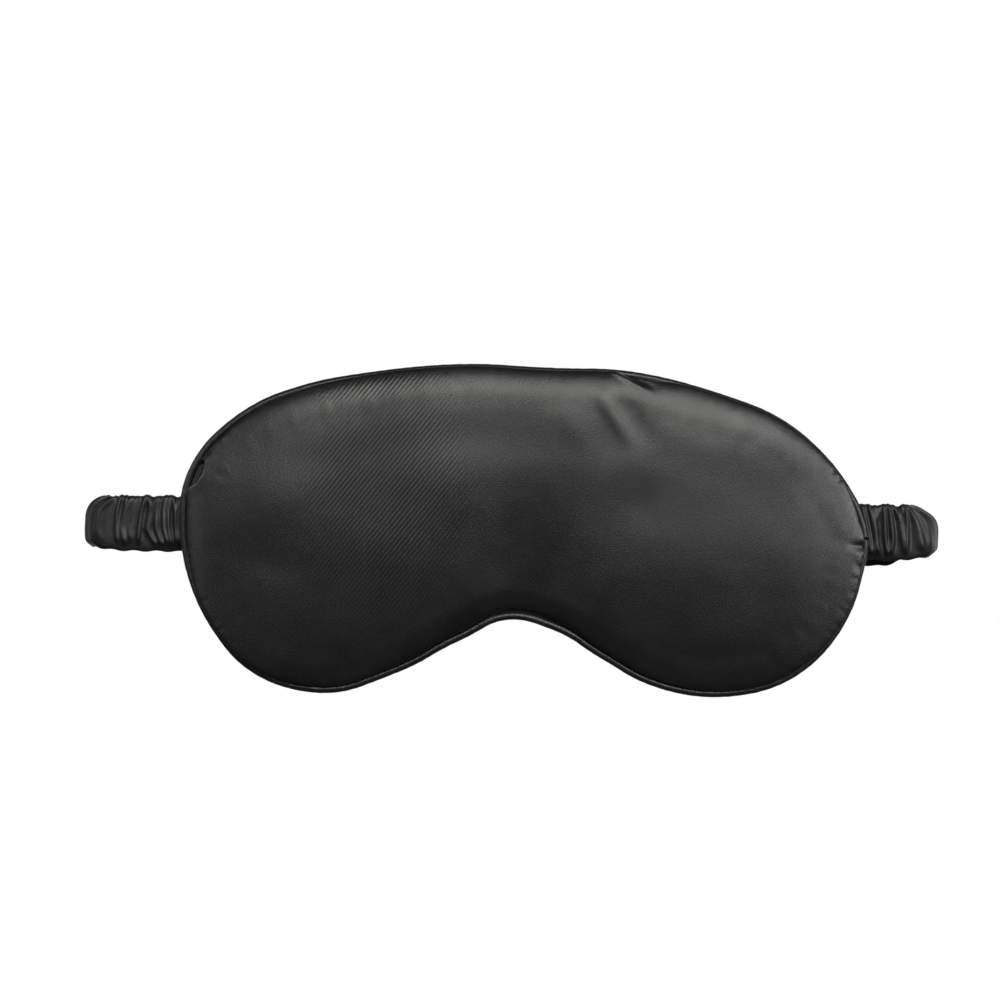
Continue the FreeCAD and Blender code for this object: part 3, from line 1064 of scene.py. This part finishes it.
def patch_of(material, place, middle, radii):
    """1 in an oval patch of the front, 0.1 outside it."""
    inside = add_node(material, "ShaderNodeMapping", {"Vector": place})
    to_middle = (-middle[0] / radii[0], 0, -middle[1] / radii[1])
    set_inputs(inside, Location=to_middle, Scale=(1 / radii[0], 0, 1 / radii[1]))
    distance = add_node(material, "ShaderNodeVectorMath", {0: inside.outputs["Vector"]})
    distance.operation = "LENGTH"
    share = add_node(material, "ShaderNodeMapRange", {"Value": distance.outputs["Value"]})
    set_inputs(share, From_Min=0.5, From_Max=1.2, To_Min=1.0, To_Max=0.1)
    return share.outputs["Result"]


def satin(name, roughness, degrees, sheen=0.04, twill=1.15):
    """Fine black satin, with slightly uneven dye and gloss. Its diagonal weave shows most in one patch."""
    middling = sum(roughness) / 2
    material, shader = new_material(name, Roughness=middling, Sheen_Weight=sheen, Sheen_Roughness=0.4)
    place = object_places(material)
    colour_between(material, shader, noise_of(material, place, 70.0), BLACK, NEAR_BLACK)
    value_between(material, shader, "Roughness", noise_of(material, place, 150.0), *roughness)
    weave = twill_of(material, object_places(material, (0, math.radians(degrees), 0)), twill)
    grain = noise_of(material, place, 2600.0, 2.0)
    weave_share = patch_of(material, place, WEAVE_MIDDLE, WEAVE_RADII)
    add_bump(material, shader, blend_of(material, grain, weave, weave_share), 0.7, 0.0001)
    return material


def thread_material():
    material, shader = new_material("thread_black", Roughness=0.55, Sheen_Weight=0.2)
    place = object_places(material)
    uneven = noise_of(material, place, 900.0)
    colour_between(material, shader, uneven, (0.012, 0.012, 0.013), (0.03, 0.03, 0.032))
    twist = twill_of(material, object_places(material, (0.6, 0.6, 0.6)), 0.35)
    add_bump(material, shader, twist, 0.4, 0.00005)
    return material


def wadding_material():
    material, shader = new_material("wadding_white", Roughness=0.95, Sheen_Weight=0.3)
    place = object_places(material)
    uneven = noise_of(material, place, 300.0)
    colour_between(material, shader, uneven, (0.62, 0.61, 0.59), (0.8, 0.79, 0.77))
    add_bump(material, shader, noise_of(material, place, 700.0, 6.0), 0.7, 0.0006)
    return material


def liner_material():
    material, shader = new_material("liner_black", Roughness=0.8)
    place = object_places(material)
    uneven = noise_of(material, place, 200.0)
    colour_between(material, shader, uneven, (0.008, 0.008, 0.008), (0.014, 0.014, 0.014))
    warp = twill_of(material, place, 0.5)
    weft = twill_of(material, object_places(material, (0, math.pi / 2, 0)), 0.5)
    add_bump(material, shader, blend_of(material, warp, weft), 0.5, 0.00008)
    return material


def elastic_material():
    material, shader = new_material("elastic_black", Roughness=0.75)
    place = object_places(material)
    uneven = noise_of(material, place, 400.0)
    colour_between(material, shader, uneven, (0.012, 0.012, 0.012), (0.022, 0.022, 0.023))
    ribs = twill_of(material, object_places(material, (0, math.pi / 2, 0)), 0.8)
    add_bump(material, shader, ribs, 0.6, 0.0002)
    return material


def cord_material():
    material, shader = new_material("cotton_cord", Roughness=0.9)
    place = object_places(material)
    uneven = noise_of(material, place, 500.0)
    colour_between(material, shader, uneven, (0.55, 0.53, 0.48), (0.72, 0.7, 0.65))
    add_bump(material, shader, noise_of(material, place, 1500.0, 4.0), 0.5, 0.0001)
    return material


def coat(piece, material):
    piece.data.materials.clear()
    piece.data.materials.append(material)


# The model

BLACK = (0.004, 0.004, 0.0041)
NEAR_BLACK = (0.007, 0.007, 0.0073)
# Where the weave shows most: (x, z) in metres
WEAVE_MIDDLE = (-0.043, 0.012)
WEAVE_RADII = (0.024, 0.04)
panel_satin = satin("satin_panel", (0.37, 0.41), -38)
piping_satin = satin("satin_piping", (0.36, 0.44), 70, sheen=0.14)
sleeve_satin = satin("satin_sleeve", (0.44, 0.52), 20, sheen=0.07, twill=0.45)
thread = thread_material()
wadding = wadding_material()
elastic = elastic_material()
cord = cord_material()


def dress(piece, material, slot, *nodes):
    """Gives a piece its material, and hides the parts of the model that it replaces. The slot is not used."""
    coat(piece, material)
    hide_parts(*nodes)


def place_on_mask(piece, material, slot, *nodes):
    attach(piece, "mask")
    dress(piece, material, slot, *nodes)


front, front_filling = front_panel()
back, back_filling = back_panel()
place_on_mask(front, panel_satin, "satin_front", "front_panel")
place_on_mask(back, panel_satin, "satin_back", "back_panel")
place_on_mask(front_filling, wadding, "wadding", "front_wadding")
place_on_mask(back_filling, wadding, "wadding", "back_wadding")
place_on_mask(piping_cover(), piping_satin, "satin_piping", "piping_cover")
place_on_mask(piping_cord(), cord, "cotton_cord", "piping_cord")

shapes = {}
for side, name, ridges in ((-1, "left", LEFT_RIDGES), (1, "right", RIGHT_RIDGES)):
    ridges = ridges + further_ridges(ridges[-1][0][1] + 4.0, half_lengths(side)[2])
    shapes[side] = sleeve_shape(side, ridges)
    sleeve, band = strap_stub(side, name, shapes[side])
    dress(sleeve, sleeve_satin, "satin_sleeve", "sleeve_tail_" + name, "sleeve_side_" + name)
    dress(band, elastic, "elastic", "elastic_tail_" + name, "elastic_side_" + name)
    for piece in (sleeve, band):
        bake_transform(piece)

middle_row = None
for side, name in ((-1, "left"), (1, "right")):
    sleeve, band, middle_row = loop_half(side, name, shapes[side], middle_row)
    dress(sleeve, sleeve_satin, "satin_sleeve", "sleeve_back")
    dress(band, elastic, "elastic", "elastic_back")
    for piece in (sleeve, band):
        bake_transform(piece)

for name in ("seam_stitches", "closing_stitches", "strap_tack_left", "strap_tack_right"):
    coat(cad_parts[name], thread)
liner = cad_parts["blackout_liner"]
coat(liner, liner_material())

# Studio


def area_light(name, place, size, power, colour=(1, 1, 1)):
    """A rectangular light that faces the mask."""
    light = bpy.data.lights.new(name, "AREA")
    light.shape = "RECTANGLE"
    light.size, light.size_y = size
    light.energy = power
    light.color = colour
    lamp = bpy.data.objects.new(name, light)
    lamp.location = place
    lamp.rotation_euler = (Vector() - Vector(place)).to_track_quat("-Z", "Y").to_euler()
    bpy.context.scene.collection.objects.link(lamp)


def pale_floor():
    bpy.ops.mesh.primitive_circle_add(vertices=128, radius=6, fill_type="NGON", location=(0, 0, -0.25))
    floor = bpy.context.object
    floor.name = "floor"
    pale = (0.9, 0.9, 0.9, 1)
    glow = dict(Emission_Color=(1, 1, 1, 1), Emission_Strength=0.9)
    material, shader = new_material("floor_pale", Roughness=0.9, Base_Color=pale, **glow)
    coat(floor, material)
    floor.visible_glossy = False
    floor.visible_diffuse = False


def studio_world():
    """White to the camera. Its light is dim in front, so that the satin stays black, and brighter behind."""
    world = bpy.data.worlds.new("studio")
    bpy.context.scene.world = world
    world.use_nodes = True
    tree = world.node_tree
    output = tree.nodes["World Output"]
    dim = tree.nodes["Background"]
    set_inputs(dim, Color=(1, 0.99, 0.97, 1))
    place = tree.nodes.new("ShaderNodeTexCoord")
    axes = tree.nodes.new("ShaderNodeSeparateXYZ")
    span = tree.nodes.new("ShaderNodeMapRange")
    set_inputs(span, From_Min=0.45, From_Max=1.0, To_Min=0.02, To_Max=0.7)
    tree.links.new(place.outputs["Generated"], axes.inputs["Vector"])
    tree.links.new(axes.outputs["Y"], span.inputs["Value"])
    tree.links.new(span.outputs["Result"], dim.inputs["Strength"])
    white = tree.nodes.new("ShaderNodeBackground")
    set_inputs(white, Color=(1, 1, 1, 1), Strength=1.0)
    path = tree.nodes.new("ShaderNodeLightPath")
    mix = tree.nodes.new("ShaderNodeMixShader")
    tree.links.new(path.outputs["Is Camera Ray"], mix.inputs["Fac"])
    tree.links.new(dim.outputs["Background"], mix.inputs[1])
    tree.links.new(white.outputs["Background"], mix.inputs[2])
    tree.links.new(mix.outputs["Shader"], output.inputs["Surface"])


def front_camera():
    """Straight on from the front, rolled by less than a degree."""
    camera = bpy.data.cameras.new("camera")
    camera.lens = 100
    camera.sensor_width = 36
    camera.dof.use_dof = False
    view_width = 0.3066  # metres, at the mask
    distance = view_width * camera.lens / camera.sensor_width
    holder = bpy.data.objects.new("camera", camera)
    holder.location = (-0.00745, SEAM_Y * MM - distance, 0.00927)
    holder.rotation_euler = (math.pi / 2, math.radians(-0.7), 0)
    bpy.context.scene.collection.objects.link(holder)
    bpy.context.scene.camera = holder


pale_floor()
studio_world()
front_camera()
area_light("softbox", (0.14, -0.88, 0.47), (0.9, 0.34), 9.2, (1.0, 0.985, 0.965))
area_light("side", (0.8, -0.62, 0.12), (0.3, 0.4), 4.7)
area_light("side_left", (-0.85, -0.5, 0.34), (0.3, 0.3), 2.1)
area_light("low_left", (-0.85, -0.85, -0.2), (0.5, 0.3), 0.8)
area_light("behind_right", (0.75, 0.5, 0.0), (0.4, 0.4), 0.6)
area_light("behind_left", (-0.75, 0.5, 0.0), (0.4, 0.4), 0.6)
area_light("rear", (0.0, 1.0, 0.2), (1.4, 0.8), 1.5)
bpy.context.scene.view_settings.view_transform = "Standard"
